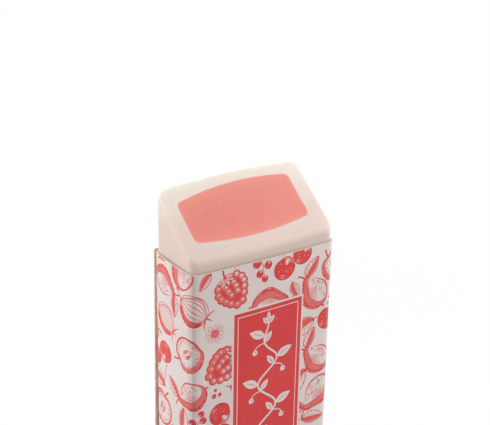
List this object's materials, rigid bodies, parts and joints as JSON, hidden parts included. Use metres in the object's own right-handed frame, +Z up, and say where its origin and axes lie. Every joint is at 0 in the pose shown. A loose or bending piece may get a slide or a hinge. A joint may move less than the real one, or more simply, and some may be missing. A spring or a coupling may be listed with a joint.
{
  "type": "block eraser in a card sleeve",
  "caption": "Upright block eraser of cream vinyl with a pink core and slanted ends, sliding in a folded card sleeve printed in red.",
  "frame": {"origin": "middle of the footprint, on the surface that the sleeve's lower rim stands on", "axes": "+Z up along the block, towards its bare slanted end; +X across the width, to the right as seen from the front panel; -Y out of the front panel"},
  "size_m": [0.023, 0.011, 0.0569],
  "materials": {
    "cream_vinyl": "soft matte, slightly translucent",
    "pink_vinyl": "soft matte, slightly translucent",
    "printed_card": "semi-gloss coated face printed in red, raw inside",
    "clear_glue": "dried film"
  },
  "bodies": {
    "sleeve": {"card_sleeve": "printed_card", "seam_glue": "clear_glue"},
    "block": {"eraser_body": "cream_vinyl", "eraser_core": "pink_vinyl"}
  },
  "joints": [
    {"name": "block_slide", "type": "slide", "parent": "sleeve", "child": "block", "axis": [0, 0, 1], "range_m": [-0.009, 0.036]}
  ]
}
